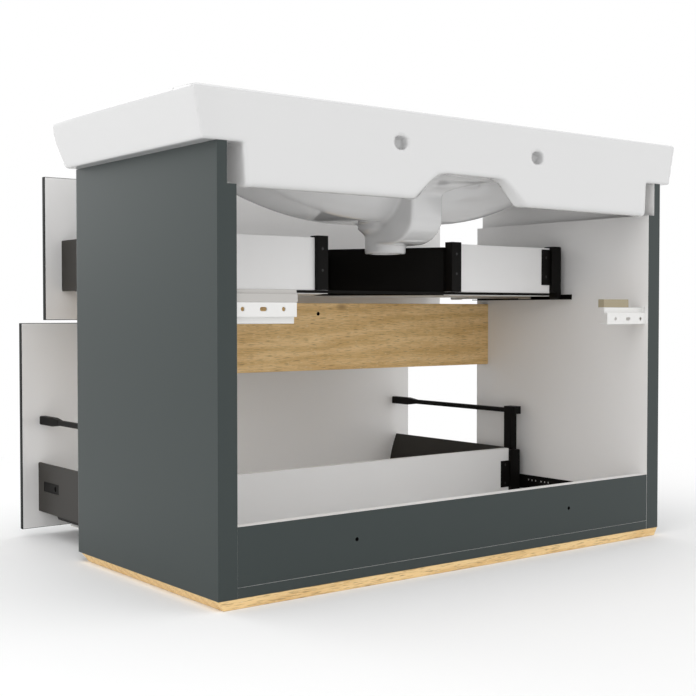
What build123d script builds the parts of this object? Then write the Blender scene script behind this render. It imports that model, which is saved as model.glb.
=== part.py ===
from build123d import *
import os

os.makedirs("parts", exist_ok=True)

# Frame: X to the right seen from the front, front towards -Y, wall towards +Y, Z up.
# The origin is the centre of the base board's underside. Both drawers stand partly open.

# Driving dimensions of the cabinet, in millimetres
cabinet_width = 930
cabinet_height = 620
cabinet_depth = 440
side_thickness = 31
board_thickness = 15
base_thickness = 14
front_thickness = 10
front_gap = 6
upper_front_height = 246

# How far each drawer is pulled out, and how far it can come out
upper_open = 137
lower_open = 243
upper_travel = 250
lower_travel = 400

# Reference faces worked out from them
half = cabinet_width / 2
inner = half - side_thickness
rear = cabinet_depth / 2
foot = base_thickness
top = foot + cabinet_height

# Drawer sizes
side_clearance = 9
drawer_side_height = 88
sheet = 1.2
bracket_depth = 20
panel_setback = 6
back_thickness = 12
bottom_thickness = 6
rear_clearance = 56
lower_seat = foot + 30
upper_seat = top - 194
front_clearance = 2
drawer_half = inner - side_clearance
box_rear = rear - rear_clearance
front_inner = -rear - front_clearance

# Runner sizes, measured from the underside of the drawer side
runner_sheet = 1.5
runner_foot_low = -12
runner_play = 0.3
middle_width = 3.8
middle_low = -9
middle_high = 11
web_low = 12.5
lip_low = -5

# Screws and dowels
dowel_radius = 4
dowel_fit = 0.1
dowel_length = 30
dowel_in_side = 13
dowel_flutes = 12


def slab(x_range, y_range, z_range, mode=Mode.ADD):
    """A board given by its lowest and highest x, y and z."""
    ranges = (x_range, y_range, z_range)
    centre = [(low + high) / 2 for low, high in ranges]
    size = [high - low for low, high in ranges]
    with Locations(tuple(centre)):
        Box(*size, mode=mode)


def export_pair(right_part, left_label, right_label):
    """Write a right-hand piece and its mirror image for the left."""
    right_part.label = right_label
    export_step(right_part, f"parts/{right_label}.step")
    with BuildPart() as left_piece:
        mirror(right_part, about=Plane.YZ)
    left_piece.part.label = left_label
    export_step(left_piece.part, f"parts/{left_label}.step")


# Dowels: which boards meet the sides, and where
front_rail_back = rear - 407
front_rail_thickness = 17
front_rail_top = upper_seat - 19.6
front_rail_height = 123.4
rear_rail_thickness = 18
rear_rail_top = foot + 98.5
dowel_places = [
    (front_rail_back - front_rail_thickness / 2, front_rail_top - 25),
    (front_rail_back - front_rail_thickness / 2, front_rail_top - front_rail_height + 25),
    (rear - rear_rail_thickness / 2, rear_rail_top - 20),
    (rear - rear_rail_thickness / 2, foot + board_thickness + 20),
    (rear - 60, foot + board_thickness / 2),
    (0, foot + board_thickness / 2),
    (-rear + 60, foot + board_thickness / 2),
]


def rod_along_x(radius, length, sides):
    """A many-sided rod that starts at the origin and points towards +X."""
    with BuildPart() as rod:
        with BuildSketch(Plane.YZ):
            RegularPolygon(radius, sides)
        extrude(amount=length)
    return rod.part


def dowel_holes(depth_in_side, depth_in_board):
    """Holes along X for the fluted dowels, on both ends of the inner space."""
    hole = rod_along_x(dowel_radius + dowel_fit, depth_in_side + depth_in_board, dowel_flutes)
    for x in (inner - depth_in_board, -inner - depth_in_side):
        with Locations(*[(x, y, z) for y, z in dowel_places]):
            add(hole, mode=Mode.SUBTRACT)


# Side panels, with a step at the top inside for the washbasin's apron
rebate_wide = 15
rebate_high = 57
side_edge_radius = 9

with BuildPart() as right_side_panel:
    with BuildSketch(Plane.XZ.offset(-rear)):
        with BuildLine():
            Polyline(
                (inner, foot),
                (half, foot),
                (half, top),
                (inner + rebate_wide, top),
                (inner + rebate_wide, top - rebate_high),
                (inner, top - rebate_high),
                close=True,
            )
        make_face()
    extrude(amount=cabinet_depth)
    front_edges = right_side_panel.edges().filter_by(Axis.Z).group_by(Axis.Y)[0]
    fillet(front_edges.sort_by(Axis.X)[-1], side_edge_radius)
    dowel_holes(dowel_in_side, 1)
export_pair(right_side_panel.part, "left_side_panel", "right_side_panel")

# Bottom panel between the sides
with BuildPart() as bottom_panel:
    slab((-inner, inner), (-rear + 2, rear), (foot, foot + board_thickness))
    dowel_holes(1, dowel_length - dowel_in_side)
bottom_panel.part.label = "bottom_panel"
export_step(bottom_panel.part, "parts/bottom_panel.step")

# Oak base board, its side and front edges bevelled down to the floor
base_bevel = 9
base_front_setback = 17

with BuildPart() as base_board:
    with BuildSketch(Plane.XY):
        with Locations((0, (base_front_setback + base_bevel) / 2)):
            Rectangle(cabinet_width - 2 * base_bevel, cabinet_depth - base_front_setback - base_bevel)
    with BuildSketch(Plane.XY.offset(base_thickness)):
        with Locations((0, base_front_setback / 2)):
            Rectangle(cabinet_width, cabinet_depth - base_front_setback)
    loft(ruled=True)
base_board.part.label = "base_board"
export_step(base_board.part, "parts/base_board.step")

# Rear rail on the bottom panel, with two holes for wall screws
rear_rail_hole_spacing = 456
rear_rail_hole_height = 58
rear_rail_hole_radius = 3

with BuildPart() as rear_rail:
    slab((-inner, inner), (rear - rear_rail_thickness, rear), (foot + board_thickness, rear_rail_top))
    dowel_holes(1, dowel_length - dowel_in_side)
    with BuildSketch(Plane.XZ.offset(-rear)):
        with Locations((0, foot + rear_rail_hole_height)):
            with GridLocations(rear_rail_hole_spacing, 0, 2, 1):
                Circle(rear_rail_hole_radius)
    extrude(amount=rear_rail_thickness, mode=Mode.SUBTRACT)
rear_rail.part.label = "rear_rail"
export_step(rear_rail.part, "parts/rear_rail.step")

# Oak cross rail between the drawers
front_rail_hole_radius = 3.5
front_rail_hole_drop = 19.4

with BuildPart() as front_rail:
    slab(
        (-inner, inner),
        (front_rail_back - front_rail_thickness, front_rail_back),
        (front_rail_top - front_rail_height, front_rail_top),
    )
    dowel_holes(1, dowel_length - dowel_in_side)
    with BuildSketch(Plane.XZ.offset(-front_rail_back)):
        with Locations((0, front_rail_top - front_rail_hole_drop)):
            Circle(front_rail_hole_radius)
    extrude(amount=front_rail_thickness, mode=Mode.SUBTRACT)
front_rail.part.label = "front_rail"
export_step(front_rail.part, "parts/front_rail.step")

with BuildPart() as dowels:
    dowel = rod_along_x(dowel_radius, dowel_length - 0.5, dowel_flutes)
    for x in (inner + dowel_in_side - dowel_length + 0.25, -inner - dowel_in_side + 0.25):
        with Locations(*[(x, y, z) for y, z in dowel_places]):
            add(dowel)
dowels.part.label = "dowels"
export_step(dowels.part, "parts/dowels.step")

# Washbasin of fired ceramic: rim and deck, bowl, rear apron, overflow duct and drain neck
basin_overhang = 37.5
basin_height = 68
basin_side_taper = 14.5
basin_proud = 3
basin_front = 15
basin_half = half + basin_overhang
basin_rear = rear + basin_proud
rim_sections = [(0, 1, 55, 34), (8, 0.9, 40, 35), (20, 0.7, 21, 36), (36, 0.45, 7, 38), (basin_height, 0, 0, 40)]

wall_hole_spacing = 292
wall_hole_radius = 9.5
wall_hole_height = 22.5
tap_hole_radius = 17.5
tap_hole_from_rear = 65
drain_from_rear = 213
drain_neck_radius = 35
drain_bore_radius = 23
drain_seat_radius = 32
drain_neck_drop = 127
overflow_radius = 12
overflow_wall = 9
overflow_height = 38
channel_half = 8
channel_outline = [(103, 38), (109, -17), (136, -46), (192, -84), (192, -94), (130, -57), (99, -18), (93, 38)]
pocket_rear_wall = 16
pocket_roof = 50
pocket_rib = 8
drain_y = rear - drain_from_rear

# Bowl: how wide and deep the outside is at the rim, halfway down and at the floor
bowl_depth = 80
bowl_wall = 13
bowl_half_top = basin_half - 77
bowl_half_mid = 0.5 * basin_half
bowl_half_floor = 61
bowl_mid_drop = 46
bowl_rear_top = rear - 100
bowl_rear_mid = rear - 124
bowl_rear_floor = rear - 166
bowl_front_top = rear - 416
bowl_front_mid = rear - 366
bowl_front_floor = rear - 262
bowl_corner = 90
bowl_draft = 14


def bowl_body(wall, rise):
    """The bowl's outside for a wall of 0, or its hollow, as three profiles that cut each other."""
    floor_z = top - bowl_depth + wall
    mid_z = top - bowl_mid_drop + wall
    side_z = top + 12
    with BuildPart() as bowl:
        with BuildSketch(Plane.XZ.offset(-rear)):
            with BuildLine():
                right = ThreePointArc(
                    (bowl_half_floor, floor_z),
                    (bowl_half_mid - wall / 4, mid_z),
                    (bowl_half_top - wall, side_z),
                )
                left = ThreePointArc(
                    (-bowl_half_floor, floor_z),
                    (-bowl_half_mid + wall / 4, mid_z),
                    (-bowl_half_top + wall, side_z),
                )
                outward = bowl_draft if rise else 0
                Polyline(
                    right @ 1,
                    (bowl_half_top - wall + outward, side_z + rise + 1),
                    (-bowl_half_top + wall - outward, side_z + rise + 1),
                    left @ 1,
                )
                Line(left @ 0, right @ 0)
            make_face()
        extrude(amount=cabinet_depth + 20)
        with BuildSketch(Plane.YZ.offset(-basin_half)):
            with BuildLine():
                back = ThreePointArc(
                    (bowl_rear_floor - wall, floor_z), (bowl_rear_mid - wall, mid_z), (bowl_rear_top - wall, side_z)
                )
                front = ThreePointArc(
                    (bowl_front_floor + wall, floor_z),
                    (bowl_front_mid + wall, mid_z),
                    (bowl_front_top + wall, side_z),
                )
                Polyline(
                    back @ 1,
                    (bowl_rear_top - wall + outward / 3, side_z + rise + 1),
                    (bowl_front_top + wall - outward, side_z + rise + 1),
                    front @ 1,
                )
                Line(front @ 0, back @ 0)
            make_face()
        extrude(amount=2 * basin_half, mode=Mode.INTERSECT)
        with BuildSketch(Plane.XY.offset(top - bowl_depth)):
            with Locations((0, (bowl_rear_top + bowl_front_top) / 2 - wall / 4)):
                RectangleRounded(
                    2 * (bowl_half_top - wall + outward),
                    bowl_rear_top - bowl_front_top - 2 * wall + 1.4 * outward,
                    bowl_corner - wall - outward,
                )
        extrude(amount=2 * bowl_depth + rise, mode=Mode.INTERSECT)
    return bowl.part


apron_high = 60
apron_thickness = 17
apron_half_low = inner - 14
apron_half_high = inner - 8
apron_corner = 10
arch_half_wide = 132
arch_half_middle = 96
arch_half_narrow = 57
arch_drop = 14
duct_half = 72
duct_half_middle = 62
duct_rear = rear - 84
duct_mid = rear - 116

with BuildPart() as washbasin:
    # Rim, with sides that lean in and a front that curls under
    for height, taper, curl, corner in rim_sections:
        width = 2 * (basin_half - taper * basin_side_taper)
        depth = cabinet_depth + basin_front + basin_proud - curl
        with BuildSketch(Plane.XY.offset(top + height)) as section:
            with Locations((0, basin_rear - depth / 2)):
                Rectangle(width, depth)
            fillet(section.vertices().group_by(Axis.Y)[0], corner)
            fillet(section.vertices().group_by(Axis.Y)[-1], 4)
    loft(ruled=True)
    # Rear apron between the side panels, with an arch for the pipes
    with BuildSketch(Plane.XZ.offset(-basin_rear)) as apron:
        apron_low = top - apron_high
        arch_top = top - arch_drop
        with BuildLine():
            for side in (-1, 1):
                Polyline(
                    (side * arch_half_wide, apron_low),
                    (side * apron_half_low, apron_low),
                    (side * apron_half_high, top - 10),
                    (side * apron_half_high, top + 5),
                    (0, top + 5),
                )
                lower_arc = TangentArc(
                    (side * arch_half_wide, apron_low),
                    (side * arch_half_middle, (apron_low + arch_top) / 2),
                    tangent=(-side, 0),
                )
                upper_arc = TangentArc(
                    lower_arc @ 1, (side * arch_half_narrow, arch_top), tangent=lower_arc % 1
                )
                Line(upper_arc @ 1, (0, arch_top))
        make_face()
        outer_corners = apron.vertices().group_by(Axis.Y)[0].sort_by(Axis.X)
        fillet([outer_corners[0], outer_corners[-1]], apron_corner)
    extrude(amount=apron_thickness)
    add(bowl_body(0, 0))
    # Duct that sweeps from behind the bowl down into the drain neck
    neck_back = drain_y + drain_neck_radius - 1
    duct_foot = top - drain_neck_drop + 24
    with BuildSketch(Plane.YZ.offset(-duct_half)):
        with BuildLine():
            duct_back = Line((duct_rear, top + 10), (duct_rear, top - 20))
            ThreePointArc(duct_back @ 1, (duct_mid, top - 62), (neck_back, duct_foot))
            Polyline(
                (neck_back, duct_foot),
                (drain_y, duct_foot),
                (drain_y - 20, top - 74),
                (drain_y - 20, top + 10),
                duct_back @ 0,
            )
        make_face()
    extrude(amount=2 * duct_half)
    # Narrow the duct in plan from the deck to the neck
    for side in (-1, 1):
        with BuildSketch(Plane.XY.offset(top - drain_neck_drop)):
            with BuildLine():
                Polyline(
                    (side * drain_neck_radius, drain_y),
                    (side * duct_half_middle, duct_mid),
                    (side * (duct_half + 1), duct_rear),
                    (side * (duct_half + 1), drain_y - 60),
                    (side * drain_neck_radius, drain_y - 60),
                    close=True,
                )
            make_face()
        extrude(amount=drain_neck_drop - bowl_depth - 1, mode=Mode.SUBTRACT)
    # Neck for the waste fitting
    with BuildSketch(Plane.XY.offset(top - drain_neck_drop)):
        with Locations((0, drain_y)):
            Circle(drain_neck_radius)
    extrude(amount=drain_neck_drop - bowl_depth + bowl_wall - 3)
    add(bowl_body(bowl_wall, basin_height), mode=Mode.SUBTRACT)
    # Waste hole with its seat, tap hole and overflow
    with Locations((0, drain_y, top - drain_neck_drop + 40)):
        Cylinder(drain_bore_radius, 90, mode=Mode.SUBTRACT)
    with Locations((0, drain_y, top - bowl_depth + bowl_wall)):
        Cylinder(drain_seat_radius, 8, mode=Mode.SUBTRACT)
    # Hollows under the deck, behind the bowl
    pocket_half = 0.6 * basin_half
    tap_pocket_half = 80
    hollows = (
        (-pocket_half, -tap_pocket_half - pocket_rib),
        (-tap_pocket_half, tap_pocket_half),
        (tap_pocket_half + pocket_rib, pocket_half),
    )
    for low, high in hollows:
        slab(
            (low, high),
            (duct_rear, basin_rear - pocket_rear_wall),
            (top - 40, top + pocket_roof),
            mode=Mode.SUBTRACT,
        )
    with Locations((0, rear - tap_hole_from_rear, top + basin_height - 10)):
        Cylinder(tap_hole_radius, 40, mode=Mode.SUBTRACT)
    with Locations((0, duct_rear - overflow_wall - 20, top + overflow_height)):
        Cylinder(overflow_radius, 40, rotation=(90, 0, 0), mode=Mode.SUBTRACT)
    # Channel inside the duct, from the overflow down to the waste hole
    with BuildSketch(Plane.YZ.offset(-channel_half)):
        with BuildLine():
            Polyline(*[(rear - behind, top + height) for behind, height in channel_outline], close=True)
        make_face()
    extrude(amount=2 * channel_half, mode=Mode.SUBTRACT)
    # Two holes for the wall bolts
    with BuildSketch(Plane.XZ.offset(-basin_rear)):
        with Locations((0, top + wall_hole_height)):
            with GridLocations(wall_hole_spacing, 0, 2, 1):
                Circle(wall_hole_radius)
    extrude(amount=pocket_rear_wall + 5, mode=Mode.SUBTRACT)
washbasin.part.label = "washbasin"
export_step(washbasin.part, "parts/washbasin.step")

# Hanger brackets: one bent sheet, used upright on the right and turned over on the left
hanger_sheet = 2
hanger_rear_gap = 6
hanger_length = 103
hanger_height = 30
hanger_plate = 19.6
hanger_jog = 7
hanger_top_flange = 20
hanger_bottom_flange = 13
hanger_hole_radius = 3.25
hanger_slot_length = 12
hanger_hole_step = 34
hanger_hole_first = 22
right_hanger_low = foot + 374
left_hanger_low = foot + 368.6


def hanger_bracket():
    """The bracket lying with its length along X from 0, its lower rear corner at the origin."""
    with BuildPart() as bracket:
        with BuildSketch(Plane.YZ):
            with BuildLine():
                Polyline(
                    (-hanger_top_flange, hanger_height - 1),
                    (-1, hanger_height - 1),
                    (-1, hanger_height - hanger_plate),
                    (-1 - hanger_jog, hanger_height - hanger_plate),
                    (-1 - hanger_jog, 1),
                    (-1 - hanger_jog - hanger_bottom_flange, 1),
                )
                offset(amount=hanger_sheet / 2, side=Side.BOTH)
            make_face()
        extrude(amount=hanger_length)
        # End flange that lies against the side panel
        slab(
            (hanger_length - hanger_sheet, hanger_length),
            (-hanger_top_flange, -1),
            (0, hanger_height),
        )
        with BuildSketch(Plane.XZ):
            with Locations((hanger_hole_first + hanger_hole_step, hanger_height - 9.5)):
                SlotOverall(hanger_slot_length, 2 * hanger_hole_radius - 0.5)
            for place in (hanger_hole_first, hanger_hole_first + 2 * hanger_hole_step):
                with Locations((place, hanger_height - 9.5)):
                    Circle(hanger_hole_radius)
        extrude(amount=4, mode=Mode.SUBTRACT)
        # Two screw holes in the end flange
        with Locations(*[(hanger_length - 4, -14, z) for z in (8, 22)]):
            add(rod_along_x(2.2, 6, 8), mode=Mode.SUBTRACT)
    return bracket.part


hanger = hanger_bracket()
hanger_rear = rear - hanger_rear_gap

with BuildPart() as right_hanger_bracket:
    with Locations((inner - hanger_length, hanger_rear, right_hanger_low)):
        add(hanger)
right_hanger_bracket.part.label = "right_hanger_bracket"
export_step(right_hanger_bracket.part, "parts/right_hanger_bracket.step")

with BuildPart() as left_hanger_bracket:
    with Locations(Location((-inner + hanger_length, hanger_rear, left_hanger_low + hanger_height), (0, 180, 0))):
        add(hanger)
left_hanger_bracket.part.label = "left_hanger_bracket"
export_step(left_hanger_bracket.part, "parts/left_hanger_bracket.step")

# A packing block lies on each bracket
right_block_length = 105
right_block_height = 12
right_strip_height = 6
left_block_length = 66
left_block_height = 14

with BuildPart() as right_hanger_block:
    block_low = right_hanger_low + hanger_height
    with BuildSketch(Plane.YZ.offset(inner - right_block_length)):
        with BuildLine():
            Polyline(
                (hanger_rear, block_low),
                (hanger_rear, block_low + right_block_height),
                (hanger_rear - 3, block_low + right_block_height),
                (hanger_rear - 3, block_low + right_block_height + right_strip_height),
                (hanger_rear - hanger_top_flange, block_low + right_block_height + right_strip_height),
                (hanger_rear - hanger_top_flange, block_low),
                close=True,
            )
        make_face()
    extrude(amount=right_block_length)
right_hanger_block.part.label = "right_hanger_block"
export_step(right_hanger_block.part, "parts/right_hanger_block.step")

with BuildPart() as left_hanger_block:
    block_end = -inner + hanger_length + 1
    slab(
        (block_end - left_block_length, block_end),
        (hanger_rear - hanger_jog - hanger_bottom_flange, hanger_rear - hanger_jog),
        (left_hanger_low + hanger_height, left_hanger_low + hanger_height + left_block_height),
    )
    fillet(left_hanger_block.edges().filter_by(Axis.Y).group_by(Axis.Z)[-1], 1.5)
left_hanger_block.part.label = "left_hanger_block"
export_step(left_hanger_block.part, "parts/left_hanger_block.step")


def screw_along_x(head_radius, head_height, shank_radius, shank_length):
    """A screw whose head starts at the origin and whose shank points towards +X."""
    with BuildPart() as screw:
        with BuildSketch(Plane.YZ):
            RegularPolygon(head_radius, 16)
        extrude(amount=head_height)
        with BuildSketch(Plane.YZ.offset(head_height)):
            RegularPolygon(shank_radius, 8)
        extrude(amount=shank_length)
    return screw.part


# Screws through the end flanges of the hangers, into pilot holes of the side panels
hanger_screw = screw_along_x(3.6, 2.4, 2, 2)
with BuildPart() as hanger_screws:
    for z in (8, 22):
        with Locations((inner - hanger_sheet - 2.4, hanger_rear - 14, right_hanger_low + z)):
            add(hanger_screw)
        with Locations(
            Location(
                (-inner + hanger_sheet + 2.4, hanger_rear - 14, left_hanger_low + hanger_height - z),
                (0, 180, 0),
            )
        ):
            add(hanger_screw)
hanger_screws.part.label = "hanger_screws"
export_step(hanger_screws.part, "parts/hanger_screws.step")

# Runner members on the side panels
lower_runner_length = cabinet_depth - 40
upper_runner_length = 258
upper_runner_flange = -2.4
lower_runner_flange = 36
runner_foot_edge = drawer_half - 7.2
runner_screw_from_front = (38, 210)
flange_hole_radius = 2
flange_holes_from_front = [147.6, 157.1, 166.6, 181.3, 190.8, 200.2]


def cabinet_runner(seat, length, flange_top, holes):
    """The right-hand L-shaped member on the side panel."""
    with BuildPart() as member:
        with BuildSketch(Plane.XZ.offset(rear - 2 - length)):
            with BuildLine():
                Polyline(
                    (runner_foot_edge, seat + runner_foot_low),
                    (inner, seat + runner_foot_low),
                    (inner, seat + flange_top),
                    (inner - runner_sheet, seat + flange_top),
                    (inner - runner_sheet, seat + runner_foot_low + runner_sheet),
                    (runner_foot_edge, seat + runner_foot_low + runner_sheet),
                    close=True,
                )
            make_face()
        extrude(amount=length)
        for from_front in holes:
            with Locations((inner - 3, -rear + 2 + from_front, seat + 26.6)):
                add(rod_along_x(flange_hole_radius, 6, 16), mode=Mode.SUBTRACT)
        with Locations(*[(inner - 3, -rear + 2 + d, seat - 6.2) for d in runner_screw_from_front]):
            add(rod_along_x(1.8, 6, 8), mode=Mode.SUBTRACT)
    return member.part


export_pair(
    cabinet_runner(upper_seat, upper_runner_length, upper_runner_flange, []),
    "left_upper_cabinet_runner",
    "right_upper_cabinet_runner",
)
export_pair(
    cabinet_runner(lower_seat, lower_runner_length, lower_runner_flange, flange_holes_from_front),
    "left_lower_cabinet_runner",
    "right_lower_cabinet_runner",
)

runner_screw = screw_along_x(3.2, 1.8, 1.6, runner_sheet)
with BuildPart() as runner_screws:
    for seat in (lower_seat, upper_seat):
        for from_front in runner_screw_from_front:
            y = -rear + 2 + from_front
            with Locations((inner - runner_sheet - 1.8, y, seat - 6.2)):
                add(runner_screw)
            with Locations(Location((-inner + runner_sheet + 1.8, y, seat - 6.2), (0, 180, 0))):
                add(runner_screw)
runner_screws.part.label = "runner_screws"
export_step(runner_screws.part, "parts/runner_screws.step")

# Middle members, which travel half as far as the drawers
upper_middle_length = 230
lower_middle_length = cabinet_depth - 84
middle_inner = drawer_half - 6.6
slider_height = 1.2
slider_length = 30


def middle_front(opening):
    """Front end of a middle member when the drawer is pulled out this far."""
    return -rear + 4 - opening / 2


def middle_rail(seat, opening, length):
    """The right-hand middle member, a thin C channel."""
    with BuildPart() as rail:
        with BuildSketch(Plane.XZ.offset(-middle_front(opening) - length)):
            with BuildLine():
                Polyline(
                    (middle_inner, seat + middle_low),
                    (middle_inner + middle_width, seat + middle_low),
                    (middle_inner + middle_width, seat + middle_low + runner_sheet),
                    (middle_inner + runner_sheet, seat + middle_low + runner_sheet),
                    (middle_inner + runner_sheet, seat + middle_high - runner_sheet),
                    (middle_inner + middle_width, seat + middle_high - runner_sheet),
                    (middle_inner + middle_width, seat + middle_high),
                    (middle_inner, seat + middle_high),
                    close=True,
                )
            make_face()
        extrude(amount=length)
    return rail.part


def sliders(seat, opening, length):
    """Nylon pads above and below both middle members, at their front and rear ends."""
    with BuildPart() as pads:
        front = middle_front(opening)
        low = (seat + middle_low - slider_height, seat + middle_low)
        high = (seat + middle_high, seat + middle_high + slider_height)
        for z_range in (low, high):
            for y in (front + 2, front + length - slider_length - 2):
                for side in (-1, 1):
                    edge = sorted((side * middle_inner, side * (middle_inner + middle_width)))
                    slab(edge, (y, y + slider_length), z_range)
    return pads.part


export_pair(
    middle_rail(upper_seat, upper_open, upper_middle_length),
    "upper_left_middle_rail",
    "upper_right_middle_rail",
)
export_pair(
    middle_rail(lower_seat, lower_open, lower_middle_length),
    "lower_left_middle_rail",
    "lower_right_middle_rail",
)
upper_rail_sliders = sliders(upper_seat, upper_open, upper_middle_length)
upper_rail_sliders.label = "upper_rail_sliders"
export_step(upper_rail_sliders, "parts/upper_rail_sliders.step")
lower_rail_sliders = sliders(lower_seat, lower_open, lower_middle_length)
lower_rail_sliders.label = "lower_rail_sliders"
export_step(lower_rail_sliders, "parts/lower_rail_sliders.step")

# Drawer members, hollow rails inside the drawer sides
drawer_rail_from_front = 61
drawer_rail_slant = 22
rail_outer = drawer_half - sheet
lip_gap = 0.4
web_inner = middle_inner - 0.8 - sheet


def drawer_rail(seat, opening):
    """The right-hand inverted channel that the drawer side rests on."""
    rail_rear = box_rear - bracket_depth - opening - 2
    rail_front = front_inner - opening + drawer_rail_from_front
    with BuildPart() as rail:
        with BuildSketch(Plane.XZ.offset(-rail_rear)):
            with BuildLine():
                Polyline(
                    (web_inner, seat + lip_low),
                    (web_inner, seat + web_low + sheet),
                    (rail_outer, seat + web_low + sheet),
                    (rail_outer, seat + lip_low),
                    (rail_outer - sheet, seat + lip_low),
                    (rail_outer - sheet, seat + web_low),
                    (web_inner + sheet, seat + web_low),
                    (web_inner + sheet, seat + lip_low),
                    close=True,
                )
            make_face()
        extrude(amount=rail_rear - rail_front)
        # The front end is cut at a slant
        with BuildSketch(Plane.YZ.offset(web_inner - 1)):
            with BuildLine():
                Polyline(
                    (rail_front - 1, seat + lip_low - 1),
                    (rail_front + drawer_rail_slant, seat + lip_low - 1),
                    (rail_front - 1, seat + web_low),
                    close=True,
                )
            make_face()
        extrude(amount=rail_outer - web_inner + 2, mode=Mode.SUBTRACT)
    return rail.part


export_pair(drawer_rail(upper_seat, upper_open), "upper_left_drawer_rail", "upper_right_drawer_rail")
export_pair(drawer_rail(lower_seat, lower_open), "lower_left_drawer_rail", "lower_right_drawer_rail")

# Drawer sides of folded sheet: straight outside, curved inside, open below
side_foot = 25
ledge_reach = 16
side_front_radius = 4
window_length = 63
window_height = 18
window_from_front = 24
window_low = 38


def side_outline(seat, inset):
    """Outline of a drawer side in the XZ plane, moved inwards by the inset."""
    high = seat + drawer_side_height - inset
    with BuildLine() as outline:
        wall = Line((drawer_half - inset, seat), (drawer_half - inset, high - 2))
        crown = ThreePointArc(
            wall @ 1, (drawer_half - 0.6 - inset, high - 0.6), (drawer_half - 2 - inset, high)
        )
        ridge = Line(crown @ 1, (drawer_half - 4.2 + inset * 0.4, high))
        flank = ThreePointArc(
            ridge @ 1,
            (drawer_half - 19 + inset, seat + 48),
            (drawer_half - side_foot + inset, seat + 8),
        )
        Polyline(flank @ 1, (drawer_half - side_foot + inset, seat), wall @ 0)
    return outline.line


def drawer_side(seat, opening, window):
    """The right-hand metal side of a drawer."""
    side_rear = box_rear - bracket_depth - opening
    side_front = front_inner - opening
    length = side_rear - side_front
    with BuildPart() as side:
        with BuildSketch(Plane.XZ.offset(-side_rear)):
            add(side_outline(seat, 0))
            make_face()
        extrude(amount=length)
        with BuildSketch(Plane.XZ.offset(-side_rear)):
            add(side_outline(seat, sheet))
            make_face()
        extrude(amount=length, mode=Mode.SUBTRACT)
        slab(
            (drawer_half - side_foot - ledge_reach, drawer_half - side_foot + sheet),
            (side_front, side_rear),
            (seat, seat + sheet),
        )
        with BuildSketch(Plane.YZ.offset(drawer_half - side_foot - ledge_reach)) as face:
            with Locations(((side_front + side_rear) / 2, seat + drawer_side_height / 2)):
                Rectangle(length, drawer_side_height)
            front_corner = face.vertices().group_by(Axis.Y)[0].sort_by(Axis.Z)[-1]
            fillet(front_corner, side_front_radius)
        extrude(amount=side_foot + ledge_reach, mode=Mode.INTERSECT)
        if window:
            with BuildSketch(Plane.YZ.offset(drawer_half - 3)):
                with Locations(
                    (side_front + window_from_front + window_length / 2, seat + window_low + window_height / 2)
                ):
                    RectangleRounded(window_length, window_height, 2)
            extrude(amount=4, mode=Mode.SUBTRACT)
    return side.part


export_pair(
    drawer_side(upper_seat, upper_open, False), "upper_left_drawer_side", "upper_right_drawer_side"
)
export_pair(
    drawer_side(lower_seat, lower_open, True), "lower_left_drawer_side", "lower_right_drawer_side"
)

# Height adjusters behind the windows of the lower drawer sides
adjuster_depth = 5
with BuildPart() as lower_adjusters:
    adjuster_front = front_inner - lower_open + window_from_front
    for side in (-1, 1):
        body = sorted((side * (drawer_half - sheet - adjuster_depth), side * (drawer_half - sheet)))
        slab(
            body,
            (adjuster_front - 1, adjuster_front + window_length + 1),
            (lower_seat + window_low - 1.5, lower_seat + window_low + window_height + 1.5),
        )
        plug = sorted((side * (drawer_half - sheet), side * (drawer_half - 0.4)))
        slab(
            plug,
            (adjuster_front + 0.8, adjuster_front + window_length - 0.8),
            (lower_seat + window_low + 0.8, lower_seat + window_low + window_height - 0.8),
        )
        # Screwdriver recess of the eccentric
        with Locations((side * drawer_half, adjuster_front + window_length - 14, lower_seat + window_low + 9)):
            Cylinder(4.5, 4, rotation=(0, 90, 0), mode=Mode.SUBTRACT)
lower_adjusters.part.label = "lower_adjusters"
export_step(lower_adjusters.part, "parts/lower_adjusters.step")


# Front fixings inside the hollow sides
def front_fixings(seat, opening):
    """Clips that hold the front on both sides."""
    with BuildPart() as clips:
        y = front_inner - opening
        for side in (-1, 1):
            plate = sorted((side * (drawer_half - 9), side * (drawer_half - sheet)))
            slab(plate, (y, y + 2), (seat + 20, seat + 60))
            tongue = sorted((side * (drawer_half - sheet - 2), side * (drawer_half - sheet)))
            slab(tongue, (y, y + window_from_front - 2), (seat + 20, seat + 60))
    return clips.part


upper_front_fixings = front_fixings(upper_seat, upper_open)
upper_front_fixings.label = "upper_front_fixings"
export_step(upper_front_fixings, "parts/upper_front_fixings.step")
lower_front_fixings = front_fixings(lower_seat, lower_open)
lower_front_fixings.label = "lower_front_fixings"
export_step(lower_front_fixings, "parts/lower_front_fixings.step")

# Rear brackets, hollow caps that close the sides and hold the back panels
bracket_inner = drawer_half - 33
bracket_outer = drawer_half - 8
flange_reach = 22
bracket_wall = 1.5
bracket_screw_radius = 1.6


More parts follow.
